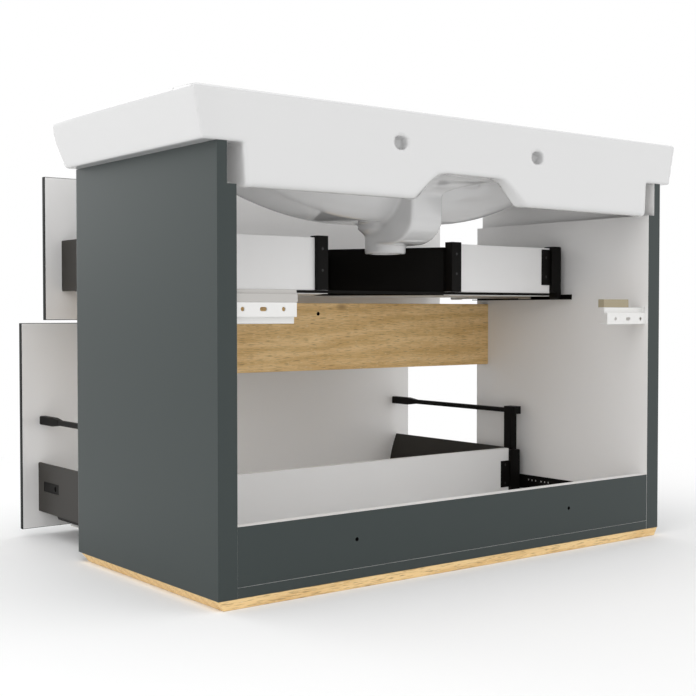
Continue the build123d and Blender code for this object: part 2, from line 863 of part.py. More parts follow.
def rear_bracket(seat, opening, low, high, flange_low, flange_high, hook):
    """The right-hand bracket at the rear end of a drawer side."""
    back = box_rear - opening
    with BuildPart() as bracket:
        with BuildSketch(Plane.XZ.offset(-back)) as outline:
            with BuildLine():
                if hook:
                    Polyline(
                        (bracket_inner, seat + low + 16),
                        (bracket_inner, seat + high),
                        (bracket_outer, seat + high),
                        (bracket_outer, seat + low),
                        (bracket_outer - 11, seat + low),
                        (bracket_outer - 11, seat + low + 10),
                        close=True,
                    )
                else:
                    Polyline(
                        (bracket_inner, seat + low),
                        (bracket_inner, seat + high),
                        (bracket_outer, seat + high),
                        (bracket_outer, seat + low),
                        close=True,
                    )
            make_face()
            fillet(outline.vertices().group_by(Axis.Z)[0], 3)
            fillet(outline.vertices().group_by(Axis.Z)[-1].sort_by(Axis.X)[-1], 2)
        extrude(amount=bracket_depth)
        mouth = bracket.faces().filter_by(Axis.Y).sort_by(Axis.Y)[0]
        offset(amount=-bracket_wall, openings=mouth)
        slab(
            (bracket_inner - flange_reach, bracket_inner + bracket_wall),
            (back - panel_setback, back - panel_setback + bracket_wall),
            (seat + flange_low, seat + flange_high),
        )
        middle = (flange_low + flange_high) / 2
        screw_places = [
            (bracket_inner - flange_reach / 2, back - panel_setback, seat + middle + dz) for dz in (-18, 18)
        ]
        with Locations(*screw_places):
            add(rod_along_x(bracket_screw_radius + 0.2, 3, 8).rotate(Axis.Z, 90), mode=Mode.SUBTRACT)
    return bracket.part


upper_bracket = rear_bracket(upper_seat, upper_open, -10, 88, 15, 82, True)
export_pair(upper_bracket, "upper_left_rear_bracket", "upper_right_rear_bracket")
lower_bracket = rear_bracket(lower_seat, lower_open, 0.5, 88, 15, 67, False)
export_pair(lower_bracket, "lower_left_rear_bracket", "lower_right_rear_bracket")

# Bottom boards, and the recess that leaves room for the trap
bottom_half = bracket_inner - 0.5
recess_mouth = 131
recess_tip = 19
recess_wall = 2
recess_height = 79
recess_mouth_depth = 74
recess_tip_depth = 257
post_wide = 23
post_outer = 159
post_depth = 18
back_panel_height = 85
lower_back_height = 91


def recess_outline(grow):
    """Plan of the recess with the drawer pulled out, widened by the given amount."""
    mouth_y = rear - recess_mouth_depth - upper_open
    tip_y = rear - recess_tip_depth - upper_open
    with BuildSketch() as plan:
        with BuildLine():
            left = Line((-recess_mouth - grow, mouth_y), (-recess_tip - grow, tip_y))
            ThreePointArc(left @ 1, (0, tip_y - recess_tip - grow), (recess_tip + grow, tip_y))
            Line((recess_tip + grow, tip_y), (recess_mouth + grow, mouth_y))
            Line((recess_mouth + grow, mouth_y), left @ 0)
        make_face()
    return plan.sketch


upper_panel_rear = box_rear - upper_open - panel_setback
upper_panel_front = upper_panel_rear - back_thickness
lower_panel_rear = box_rear - lower_open - panel_setback

with BuildPart() as upper_drawer_bottom:
    slab(
        (-bottom_half, bottom_half),
        (front_inner - upper_open, upper_panel_rear),
        (upper_seat - bottom_thickness, upper_seat),
    )
    with BuildSketch(Plane.XY.offset(upper_seat - bottom_thickness)):
        add(recess_outline(recess_wall))
        with Locations((0, upper_panel_rear - back_thickness / 2)):
            Rectangle(2 * (recess_mouth + recess_wall), back_thickness + 0.2)
    extrude(amount=bottom_thickness, mode=Mode.SUBTRACT)
upper_drawer_bottom.part.label = "upper_drawer_bottom"
export_step(upper_drawer_bottom.part, "parts/upper_drawer_bottom.step")

with BuildPart() as lower_drawer_bottom:
    slab(
        (-bottom_half, bottom_half),
        (front_inner - lower_open, lower_panel_rear),
        (lower_seat - bottom_thickness, lower_seat),
    )
lower_drawer_bottom.part.label = "lower_drawer_bottom"
export_step(lower_drawer_bottom.part, "parts/lower_drawer_bottom.step")

with BuildPart() as siphon_recess:
    with BuildSketch(Plane.XY.offset(upper_seat - bottom_thickness)):
        add(recess_outline(recess_wall))
    extrude(amount=recess_height + bottom_thickness)
    with BuildSketch(Plane.XY.offset(upper_seat - bottom_thickness)):
        add(recess_outline(0))
    extrude(amount=recess_height + bottom_thickness, mode=Mode.SUBTRACT)
    # Flanges that lie against the posts
    flange_rear = rear - recess_mouth_depth - upper_open
    for side in (-1, 1):
        edge = sorted((side * (recess_mouth + 1), side * (post_outer + 8)))
        slab(edge, (flange_rear - recess_wall, flange_rear), (upper_seat, upper_seat + recess_height))
siphon_recess.part.label = "siphon_recess"
export_step(siphon_recess.part, "parts/siphon_recess.step")

# Posts at the mouth of the recess
post_screw_heights = (32, 67)
with BuildPart() as right_recess_post:
    slab(
        (post_outer - post_wide, post_outer),
        (box_rear - upper_open - post_depth, box_rear - upper_open),
        (upper_seat, upper_seat + drawer_side_height),
    )
    fillet(right_recess_post.edges().filter_by(Axis.Z).group_by(Axis.Y)[-1], 1)
    with Locations(
        *[(post_outer - post_wide / 2, box_rear - upper_open, upper_seat + z) for z in post_screw_heights]
    ):
        add(rod_along_x(1.8, 6, 8).rotate(Axis.Z, -90), mode=Mode.SUBTRACT)
export_pair(right_recess_post.part, "left_recess_post", "right_recess_post")

# Back panels
pilot_hole = rod_along_x(bracket_screw_radius + 0.1, back_thickness, 8).rotate(Axis.Z, -90)

with BuildPart() as upper_right_back_panel:
    slab(
        (post_outer, bracket_inner),
        (upper_panel_front, upper_panel_rear),
        (upper_seat, upper_seat + back_panel_height),
    )
    panel_screws = [
        (bracket_inner - flange_reach / 2, upper_panel_rear, upper_seat + 48.5 + dz) for dz in (-18, 18)
    ]
    with Locations(*panel_screws):
        add(pilot_hole, mode=Mode.SUBTRACT)
export_pair(upper_right_back_panel.part, "upper_left_back_panel", "upper_right_back_panel")

with BuildPart() as lower_back_panel:
    slab(
        (-bracket_inner, bracket_inner),
        (lower_panel_rear - back_thickness, lower_panel_rear),
        (lower_seat, lower_seat + lower_back_height),
    )
    for side in (-1, 1):
        x = side * (bracket_inner - flange_reach / 2)
        with Locations(*[(x, lower_panel_rear, lower_seat + 41 + dz) for dz in (-18, 18)]):
            add(pilot_hole, mode=Mode.SUBTRACT)
lower_back_panel.part.label = "lower_back_panel"
export_step(lower_back_panel.part, "parts/lower_back_panel.step")


def screw_along_y(head_radius, head_height, shank_radius, shank_length):
    """A pan-head screw with its head at the origin and its shank towards -Y."""
    return screw_along_x(head_radius, head_height, shank_radius, shank_length).rotate(Axis.Z, -90)


# Screws of the upper drawer: four in the recess posts, four in the rear brackets
bracket_screw = screw_along_y(3, 1.6, bracket_screw_radius, 10)
with BuildPart() as upper_drawer_screws:
    for side in (-1, 1):
        x = side * (post_outer - post_wide / 2)
        for z in post_screw_heights:
            with Locations((x, box_rear - upper_open + 1.2, upper_seat + z)):
                add(screw_along_y(3.2, 1.2, 1.6, 5))
        x = side * (bracket_inner - flange_reach / 2)
        for dz in (-18, 18):
            y = upper_panel_rear + bracket_wall + 1.6
            with Locations((x, y, upper_seat + 48.5 + dz)):
                add(bracket_screw)
upper_drawer_screws.part.label = "upper_drawer_screws"
export_step(upper_drawer_screws.part, "parts/upper_drawer_screws.step")

with BuildPart() as lower_drawer_screws:
    for side in (-1, 1):
        x = side * (bracket_inner - flange_reach / 2)
        for dz in (-18, 18):
            y = lower_panel_rear + bracket_wall + 1.6
            with Locations((x, y, lower_seat + 41 + dz)):
                add(bracket_screw)
lower_drawer_screws.part.label = "lower_drawer_screws"
export_step(lower_drawer_screws.part, "parts/lower_drawer_screws.step")

# Edge strip along the rear of the upper drawer's bottom
strip_height = 4.5
strip_depth = 2
with BuildPart() as upper_edge_strip:
    slab(
        (-bottom_half, bottom_half),
        (upper_panel_rear, upper_panel_rear + strip_depth),
        (upper_seat - bottom_thickness + 1, upper_seat - bottom_thickness + 1 + strip_height),
    )
upper_edge_strip.part.label = "upper_edge_strip"
export_step(upper_edge_strip.part, "parts/upper_edge_strip.step")

# Drawer fronts, overlapping the sides of the cabinet
front_inset = 9.3
front_rise = 2.3
front_drop = 1
edge_chamfer = 1
front_half = half - front_inset
upper_front_top = top + front_rise
upper_front_low = upper_front_top - upper_front_height
lower_front_top = upper_front_low - front_gap
lower_front_low = foot - front_drop


def drawer_front(opening, low, high):
    """A front board with its inner edges broken."""
    with BuildPart() as board:
        y = front_inner - opening
        slab((-front_half, front_half), (y - front_thickness, y), (low, high))
        inner_face = board.faces().filter_by(Axis.Y).sort_by(Axis.Y)[-1]
        chamfer(inner_face.edges(), edge_chamfer)
    return board.part


upper_front = drawer_front(upper_open, upper_front_low, upper_front_top)
upper_front.label = "upper_front"
export_step(upper_front, "parts/upper_front.step")
lower_front = drawer_front(lower_open, lower_front_low, lower_front_top)
lower_front.label = "lower_front"
export_step(lower_front, "parts/lower_front.step")

# Gallery of the lower drawer: a post on each rear bracket, a rail and its front connector
gallery_post_wide = 17
gallery_post_depth = 20
gallery_post_setback = 8.5
gallery_height = 173
gallery_rail_wide = 10
gallery_rail_high = 9
gallery_rail_height = 164
connector_length = 50
connector_taper = 23
post_rear = box_rear - lower_open - gallery_post_setback
post_x = bracket_outer - gallery_post_wide / 2
rail_x = drawer_half - 10
rail_z = lower_seat + gallery_rail_height
connector_front = front_inner - lower_open

with BuildPart() as right_gallery_post:
    slab(
        (bracket_outer - gallery_post_wide, bracket_outer),
        (post_rear - gallery_post_depth, post_rear),
        (lower_seat + drawer_side_height, lower_seat + gallery_height),
    )
    slab(
        (bracket_outer - gallery_post_wide, bracket_outer + 3.5),
        (post_rear - gallery_post_depth, post_rear + 8),
        (lower_seat + gallery_height - 15, lower_seat + gallery_height),
    )
    fillet(right_gallery_post.edges().filter_by(Axis.Z), 1.5)
export_pair(right_gallery_post.part, "left_gallery_post", "right_gallery_post")

with BuildPart() as right_gallery_rail:
    with BuildSketch(Plane.XZ.offset(-post_rear + gallery_post_depth)):
        with Locations((rail_x, rail_z)):
            RectangleRounded(gallery_rail_wide, gallery_rail_high, 2)
    extrude(amount=post_rear - gallery_post_depth - connector_front - connector_length - connector_taper)
export_pair(right_gallery_rail.part, "left_gallery_rail", "right_gallery_rail")

with BuildPart() as right_gallery_connector:
    with BuildSketch(Plane.XZ.offset(-connector_front)):
        with Locations((rail_x, rail_z)):
            RectangleRounded(14, 15.5, 2.5)
    extrude(amount=-connector_length)
    with BuildSketch(Plane.XZ.offset(-connector_front - connector_length)):
        with Locations((rail_x, rail_z)):
            RectangleRounded(14, 15.5, 2.5)
    with BuildSketch(Plane.XZ.offset(-connector_front - connector_length - connector_taper)):
        with Locations((rail_x, rail_z)):
            RectangleRounded(gallery_rail_wide + 1, gallery_rail_high + 1, 2.5)
    loft(ruled=True)
export_pair(right_gallery_connector.part, "left_gallery_connector", "right_gallery_connector")
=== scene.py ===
import math

import bmesh
import bpy
import numpy as np
from mathutils import Matrix, Vector


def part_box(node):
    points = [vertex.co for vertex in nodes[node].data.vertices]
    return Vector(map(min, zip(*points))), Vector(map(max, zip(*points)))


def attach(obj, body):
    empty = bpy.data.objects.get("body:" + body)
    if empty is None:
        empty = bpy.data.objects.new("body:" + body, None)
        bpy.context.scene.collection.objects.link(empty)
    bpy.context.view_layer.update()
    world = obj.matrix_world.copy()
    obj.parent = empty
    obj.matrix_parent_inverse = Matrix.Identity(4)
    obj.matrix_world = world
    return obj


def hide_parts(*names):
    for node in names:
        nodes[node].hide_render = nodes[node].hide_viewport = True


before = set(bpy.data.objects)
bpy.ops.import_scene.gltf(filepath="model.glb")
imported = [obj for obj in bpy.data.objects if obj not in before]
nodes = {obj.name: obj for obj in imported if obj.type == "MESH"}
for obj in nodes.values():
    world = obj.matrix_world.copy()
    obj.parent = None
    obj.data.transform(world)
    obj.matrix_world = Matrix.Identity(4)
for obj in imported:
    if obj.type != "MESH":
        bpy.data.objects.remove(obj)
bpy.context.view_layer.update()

# Studio: the unit stands on a plain pale floor in soft light, seen from behind and to one side.
# The camera stands where the photograph's straight edges put it, a little below half height.
camera_place = (1.3077, 1.5980, 0.4053)
camera_turn = (math.radians(88.257), 0, math.radians(142.353))
camera_lens = 62.2
surround_strength = 0.95
floor_radius = 9.0
floor_colour = (0.90, 0.90, 0.90)
floor_fade_start = 0.55
floor_fade_end = 1.6
lamp_aim = (0, 0, 0.35)
lamps = {
    # name: place, width, height, watts
    "overhead": ((0.1, 0.4, 3.2), 3.2, 3.2, 16),
    "rear_left": ((3.2, 0.9, 1.8), 2.2, 2.2, 18),
    "rear_right": ((-2.4, 2.8, 1.2), 2.2, 2.2, 5),
    "front": ((0.6, -3.2, 1.6), 2.6, 2.0, 22),
}

scene = bpy.context.scene
scene.view_settings.view_transform = "Standard"
camera_data = bpy.data.cameras.new("camera")
camera_data.lens = camera_lens
camera_data.sensor_width = 36
camera_data.clip_end = 60
camera = bpy.data.objects.new("camera", camera_data)
camera.location = camera_place
camera.rotation_euler = camera_turn
scene.collection.objects.link(camera)
scene.camera = camera


def new_node(tree, kind, **values):
    """Add a node; a value names one of its sockets or, failing that, one of its properties."""
    node = tree.nodes.new(kind)
    for name, value in values.items():
        socket_name = name.replace("_", " ")
        if socket_name in node.inputs:
            node.inputs[socket_name].default_value = value
        else:
            setattr(node, name, value)
    return node


def seen_directly(tree):
    """1 for rays from the camera, from gloss and through glass, 0 for the light itself."""
    path = new_node(tree, "ShaderNodeLightPath")
    total = path.outputs["Is Camera Ray"]
    for name in ("Is Glossy Ray", "Is Transmission Ray"):
        either = new_node(tree, "ShaderNodeMath", operation="MAXIMUM")
        tree.links.new(total, either.inputs[0])
        tree.links.new(path.outputs[name], either.inputs[1])
        total = either.outputs[0]
    return total


world = bpy.data.worlds.new("studio")
world.use_nodes = True
scene.world = world
sky = world.node_tree
strength = new_node(sky, "ShaderNodeMapRange", To_Min=surround_strength, To_Max=1.0)
sky.links.new(seen_directly(sky), strength.inputs["Value"])
background = sky.nodes["Background"]
background.inputs["Color"].default_value = (1, 1, 1, 1)
sky.links.new(strength.outputs["Result"], background.inputs["Strength"])

for name, (place, width, height, watts) in lamps.items():
    lamp_data = bpy.data.lights.new(name, "AREA")
    lamp_data.shape = "RECTANGLE"
    lamp_data.size = width
    lamp_data.size_y = height
    lamp_data.energy = watts
    lamp = bpy.data.objects.new(name, lamp_data)
    lamp.location = place
    aim = Vector(lamp_aim) - Vector(place)
    lamp.rotation_euler = aim.to_track_quat("-Z", "Y").to_euler()
    scene.collection.objects.link(lamp)

bpy.ops.mesh.primitive_circle_add(vertices=96, radius=floor_radius, fill_type="NGON")
floor = bpy.context.object
floor.name = "floor"
floor_paint = bpy.data.materials.new("floor_paint")
floor_paint.use_nodes = True
tree = floor_paint.node_tree
shader = tree.nodes["Principled BSDF"]
shader.inputs["Base Color"].default_value = (*floor_colour, 1)
shader.inputs["Roughness"].default_value = 0.9
shader.inputs["Specular IOR Level"].default_value = 0.1
white = new_node(tree, "ShaderNodeEmission", Strength=1.0)
place = new_node(tree, "ShaderNodeTexCoord")
distance = new_node(tree, "ShaderNodeVectorMath", operation="LENGTH")
fade = new_node(tree, "ShaderNodeMapRange", interpolation_type="SMOOTHERSTEP")
fade.inputs["From Min"].default_value = floor_fade_start
fade.inputs["From Max"].default_value = floor_fade_end
far = new_node(tree, "ShaderNodeMath", operation="MULTIPLY")
blend = new_node(tree, "ShaderNodeMixShader")
tree.links.new(place.outputs["Object"], distance.inputs[0])
tree.links.new(distance.outputs["Value"], fade.inputs["Value"])
tree.links.new(fade.outputs["Result"], far.inputs[0])
tree.links.new(seen_directly(tree), far.inputs[1])
tree.links.new(far.outputs[0], blend.inputs[0])
tree.links.new(shader.outputs[0], blend.inputs[1])
tree.links.new(white.outputs[0], blend.inputs[2])
tree.links.new(blend.outputs[0], tree.nodes["Material Output"].inputs["Surface"])
floor.data.materials.append(floor_paint)


# Base board: solid oak, 14 mm thick, its ends and front bevelled in towards the floor.
# It is oiled, glued and screwed up under the bottom panel; only its edge is seen.
oak_pale = (0.90, 0.645, 0.32)
oak_mid = (0.66, 0.405, 0.150)
oak_dark = (0.22, 0.115, 0.04)
oak_fleck = (0.88, 0.70, 0.42)


def finish(name, colour, roughness, metallic=0.0, **sockets):
    """A principled material; colour is linear red, green and blue."""
    material = bpy.data.materials.new(name)
    material.use_nodes = True
    shader = material.node_tree.nodes["Principled BSDF"]
    shader.inputs["Base Color"].default_value = (*colour, 1)
    shader.inputs["Roughness"].default_value = roughness
    shader.inputs["Metallic"].default_value = metallic
    for socket_name, value in sockets.items():
        shader.inputs[socket_name.replace("_", " ")].default_value = value
    return material


def object_place(tree, stretch=(1, 1, 1), shift=(0, 0, 0)):
    """Object coordinates, stretched so that a pattern runs along one axis."""
    place = new_node(tree, "ShaderNodeTexCoord")
    mapping = new_node(tree, "ShaderNodeMapping", Scale=stretch, Location=shift)
    tree.links.new(place.outputs["Object"], mapping.inputs["Vector"])
    return mapping.outputs["Vector"]


def add_bump(material, height, strength, distance=0.001):
    """Raise the surface by a height output, in metres at full strength."""
    tree = material.node_tree
    bump = new_node(tree, "ShaderNodeBump", Strength=strength, Distance=distance)
    tree.links.new(height, bump.inputs["Height"])
    tree.links.new(bump.outputs["Normal"], tree.nodes["Principled BSDF"].inputs["Normal"])


def oak_finish(name, shift, paleness=0.0):
    """Oiled oak, grain along X: rings, fine fibre, pale flecks, dark pores and a few knots."""
    material = finish(name, oak_mid, 0.55, Specular_IOR_Level=0.35)
    tree = material.node_tree
    shader = tree.nodes["Principled BSDF"]

    def noise(scale, detail, stretch):
        texture = new_node(tree, "ShaderNodeTexNoise", Scale=scale, Detail=detail, Roughness=0.6)
        tree.links.new(object_place(tree, stretch, shift), texture.inputs["Vector"])
        return texture

    def above(socket, low, high):
        """0 below the low value and 1 above the high one."""
        mask = new_node(tree, "ShaderNodeMapRange", From_Min=low, From_Max=high)
        tree.links.new(socket, mask.inputs["Value"])
        return mask.outputs["Result"]

    def sum_of(*weighted):
        total = None
        for socket, weight in weighted:
            part = new_node(tree, "ShaderNodeMath", operation="MULTIPLY_ADD")
            tree.links.new(socket, part.inputs[0])
            part.inputs[1].default_value = weight
            if total is None:
                part.inputs[2].default_value = 0
            else:
                tree.links.new(total, part.inputs[2])
            total = part.outputs[0]
        return total

    slow = noise(3.0, 3.0, (1.0, 3.0, 6.0))
    bent = new_node(tree, "ShaderNodeVectorMath", operation="SCALE", Scale=0.05)
    moved = new_node(tree, "ShaderNodeVectorMath", operation="ADD")
    tree.links.new(slow.outputs["Color"], bent.inputs[0])
    tree.links.new(bent.outputs["Vector"], moved.inputs[0])
    tree.links.new(object_place(tree, (0.06, 1.0, 1.0), shift), moved.inputs[1])
    rings = new_node(tree, "ShaderNodeTexWave", Scale=22.0, Detail=0.0)
    rings.bands_direction = "DIAGONAL"
    tree.links.new(moved.outputs["Vector"], rings.inputs["Vector"])
    fibre = noise(60.0, 5.0, (0.45, 11.0, 11.0))
    patch = noise(7.0, 2.0, (0.7, 2.0, 3.0))
    flecks = noise(60.0, 2.0, (1.6, 6.5, 6.5))
    pores = noise(230.0, 1.0, (0.22, 4.0, 4.0))
    tone = sum_of(
        (rings.outputs["Fac"], 0.16), (fibre.outputs["Fac"], 0.55), (patch.outputs["Fac"], 0.30)
    )
    ramp = new_node(tree, "ShaderNodeValToRGB")
    ramp.color_ramp.elements[0].position = 0.33 - paleness
    ramp.color_ramp.elements[0].color = (*oak_mid, 1)
    ramp.color_ramp.elements[1].position = 0.68 - paleness
    ramp.color_ramp.elements[1].color = (*oak_pale, 1)
    tree.links.new(tone, ramp.inputs["Fac"])
    light = new_node(tree, "ShaderNodeMix", data_type="RGBA")
    tree.links.new(sum_of((above(flecks.outputs["Fac"], 0.60, 0.68), 0.5)), light.inputs["Factor"])
    tree.links.new(ramp.outputs["Color"], light.inputs["A"])
    light.inputs["B"].default_value = (*oak_fleck, 1)
    knots = new_node(tree, "ShaderNodeTexVoronoi", Scale=4.2, Randomness=1.0)
    tree.links.new(object_place(tree, (1.0, 1.0, 1.9), shift), knots.inputs["Vector"])
    knot = new_node(
        tree, "ShaderNodeMapRange", From_Min=0.02, From_Max=0.075, To_Min=0.8, To_Max=0.0
    )
    tree.links.new(knots.outputs["Distance"], knot.inputs["Value"])
    dark_part = new_node(tree, "ShaderNodeMath", operation="MAXIMUM")
    tree.links.new(sum_of((above(pores.outputs["Fac"], 0.56, 0.66), 0.55)), dark_part.inputs[0])
    tree.links.new(knot.outputs["Result"], dark_part.inputs[1])
    mixed = new_node(tree, "ShaderNodeMix", data_type="RGBA")
    tree.links.new(dark_part.outputs[0], mixed.inputs["Factor"])
    tree.links.new(light.outputs["Result"], mixed.inputs["A"])
    mixed.inputs["B"].default_value = (*oak_dark, 1)
    tree.links.new(mixed.outputs["Result"], shader.inputs["Base Color"])
    add_bump(material, fibre.outputs["Fac"], 0.3, 0.0004)
    return material


def add_piece(name, mesh, materials, body, replaced=()):
    """Link a finished mesh as a piece that rides on a body and stands for CAD nodes."""
    for material in materials:
        mesh.materials.append(material)
    piece = bpy.data.objects.new(name, mesh)
    scene.collection.objects.link(piece)
    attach(piece, body)
    if replaced:
        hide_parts(*replaced)
    return piece


def with_modifiers(mesh, *modifiers):
    """The mesh after modifiers, each given as its type and its settings."""
    helper = bpy.data.objects.new("helper", mesh)
    scene.collection.objects.link(helper)
    for kind, settings in modifiers:
        modifier = helper.modifiers.new(kind.lower(), kind)
        for key, value in settings.items():
            setattr(modifier, key, value)
    evaluated = helper.evaluated_get(bpy.context.evaluated_depsgraph_get())
    done = bpy.data.meshes.new_from_object(evaluated)
    bpy.data.objects.remove(helper)
    return done


def soft_mesh(name, radius, shortest=0.004, steps=2, edge_angle=28):
    """The CAD node's shape with its sharp edges rounded, as a mesh of its own."""
    mesh = nodes[name].data.copy()
    mesh.materials.clear()
    shape = bmesh.new()
    shape.from_mesh(mesh)
    bmesh.ops.remove_doubles(shape, verts=shape.verts, dist=0.00002)
    bmesh.ops.dissolve_limit(
        shape, angle_limit=math.radians(0.6), verts=shape.verts, edges=shape.edges
    )
    sharp = [
        edge
        for edge in shape.edges
        if len(edge.link_faces) == 2
        and edge.calc_face_angle(0) > math.radians(edge_angle)
        and edge.calc_length() > shortest
    ]
    if radius and sharp:
        bmesh.ops.bevel(
            shape,
            geom=sharp,
            offset=radius,
            offset_type="OFFSET",
            segments=steps,
            profile=0.5,
            affect="EDGES",
            clamp_overlap=True,
        )
    shape.to_mesh(mesh)
    shape.free()
    for face in mesh.polygons:
        face.use_smooth = True
    mesh.set_sharp_from_angle(angle=math.radians(50))
    return with_modifiers(mesh, ("WEIGHTED_NORMAL", {"keep_sharp": True, "weight": 60}))


base_oak = oak_finish("base_oak", (0.3, 0.1, 0.7), paleness=0.10)
add_piece("oak_base", soft_mesh("base_board", 0.0012), [base_oak], "cabinet", ["base_board"])


# Carcase boards: particle board lacquered slate outside and white inside, with 1 mm edge bands.
# Two 31 mm sides, the bottom panel and the rear rail are dowelled and glued together.
slate_side = (0.035, 0.046, 0.045)
board_white = (0.86, 0.85, 0.84)
rebate_depth = 0.015
paint_margin = 0.0004
rail_bores = ((-0.228, 0.072), (0.228, 0.072))
bore_reach = 0.006


def fine_grain(material, scale, strength, distance=0.0002):
    """A very fine even texture, as on lacquer or melamine."""
    tree = material.node_tree
    noise = new_node(tree, "ShaderNodeTexNoise", Scale=scale, Detail=2.0, Roughness=0.5)
    tree.links.new(object_place(tree), noise.inputs["Vector"])
    add_bump(material, noise.outputs["Fac"], strength, distance)
    return material


slate_lacquer = finish("slate_lacquer", slate_side, 0.42, Specular_IOR_Level=0.32)
fine_grain(slate_lacquer, 900, 0.12)
white_lacquer = fine_grain(finish("white_lacquer", board_white, 0.38), 700, 0.10)


def paint_faces(mesh, index, test):
    """Give every face that passes the test the material of that index."""
    for face in mesh.polygons:
        if test(face.center, face.normal):
            face.material_index = index


for side, sign in (("left", -1), ("right", 1)):
    panel = soft_mesh(f"{side}_side_panel", 0.0010)
    inner_x = min(
        abs(x)
        for x in (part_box(f"{side}_side_panel")[0][0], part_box(f"{side}_side_panel")[1][0])
    )
    painted_x = inner_x + rebate_depth + paint_margin
    paint_faces(
        panel,
        1,
        lambda centre, normal: abs(centre.x) < painted_x and normal.x * sign < -0.3,
    )
    add_piece(
        f"{side}_side",
        panel,
        [slate_lacquer, white_lacquer],
        "cabinet",
        [f"{side}_side_panel"],
    )

floor_panel = soft_mesh("bottom_panel", 0.0008)
paint_faces(floor_panel, 1, lambda centre, normal: normal.z > 0.5)
add_piece(
    "bottom_board",
    floor_panel,
    [slate_lacquer, white_lacquer],
    "cabinet",
    ["bottom_panel"],
)
wall_rail = soft_mesh("rear_rail", 0.0010)
paint_faces(wall_rail, 1, lambda centre, normal: normal.z > 0.7 or normal.y < -0.5)
# The walls of the two bores in the rear rail are painted near-black: painted shade inside the
# holes.
bore_painted_shade = finish("bore_painted_shade", (0.004, 0.004, 0.004), 0.9, Specular_IOR_Level=0.1)
paint_faces(
    wall_rail,
    2,
    lambda centre, normal: abs(normal.y) < 0.5
    and min(math.hypot(centre.x - x, centre.z - z) for x, z in rail_bores) < bore_reach,
)
add_piece(
    "wall_rail",
    wall_rail,
    [slate_lacquer, white_lacquer, bore_painted_shade],
    "cabinet",
    ["rear_rail"],
)


# Front rail: an oak-veneered cross board between the two drawers, dowelled between the sides.
# One hole near its top takes the screw of a cross brace.
brace_bore_height = 0.401
rail_oak = oak_finish("rail_oak", (0.9, 0.4, 0.15))
oak_rail = soft_mesh("front_rail", 0.0010)
# The wall of the brace hole is painted near-black as well: painted shade inside it.
paint_faces(
    oak_rail,
    1,
    lambda centre, normal: abs(normal.y) < 0.5
    and math.hypot(centre.x, centre.z - brace_bore_height) < bore_reach,
)
add_piece("oak_rail", oak_rail, [rail_oak, bore_painted_shade], "cabinet", ["front_rail"])


# Dowels: 8 mm beech pegs, fluted so that the glue can spread, hidden in the board joints.
# They keep the CAD shape and take a plain beech finish.
beech = fine_grain(finish("beech", (0.62, 0.42, 0.24), 0.6), 300, 0.2)
nodes["dowels"].data.materials.clear()
nodes["dowels"].data.materials.append(beech)


# Washbasin: one slip-cast ceramic body, glazed white, wider than the cabinet on both sides.
# Its rear apron drops between the sides; behind the bowl a duct bends into the drain neck.
# Sizes are in mm: v runs from the wall forwards, w up from the tops of the side panels.
lean_height = 68.0
rim_half_top = 502.5
rim_half_foot = 488.0
rim_front = 455.0
rim_rear = -3.0
past_rear = 20
nose_height = 52
nose_tuck = 22
deck_height = 71.5
deck_rise = 4.5
bowl_depth = 80
bowl_flat_half = 55
bowl_curve = 0.00096
bowl_rear = 178
bowl_front = 262
apron_half = 424
apron_foot = 62
apron_thickness = 14
skirt_inner = 409
skirt_front = 120
arch_half = 132
arch_height = 61
ceiling_half = 128
ceiling_height = 13
duct_half = 34
duct_flare = 76
duct_front = 205
elbow_v = 165
elbow_w = 75
throat_w = 41
throat_height = 27
throat_depth = 91
drain_v = 213
neck_radius = 35
neck_foot = 131
hip_radius = 47
hip_w = 89
seat_radius = 32
seat_w = 71
bore_radius = 23
well_half = 424
well_rear = 117
well_front = 414
well_corner = 62
well_foot_round = 26
tap_v = 65
tap_radius = 17.5
pocket_half = 80
overflow_w = 38
overflow_radius = 12
bolt_half_spacing = 146
bolt_w = 22.5
bolt_radius = 10
bolt_stretch = 3.5
bolt_depth = 14
basin_low = (-510, -242, 497)
basin_high = (510, 228, 717)
glaze_white = (0.672, 0.672, 0.672)
grid_step = 4.4
basin_origin = Vector((0, 220, 634))


def round_cut(parts, radius):
    """Where all the parts overlap, with the meeting edges rounded; all are signed distances."""
    inside = np.minimum(np.maximum.reduce(parts), -radius)
    outside = np.zeros_like(parts[0])
    for part in parts:
        outside = outside + np.maximum(part + radius, 0) ** 2
    return inside + np.sqrt(outside)


def blend_join(first, second, radius):
    """The union of two signed distances with a soft fillet of about that radius."""
    share = np.clip(0.5 + 0.5 * (second - first) / radius, 0, 1)
    return second + (first - second) * share - radius * share * (1 - share)


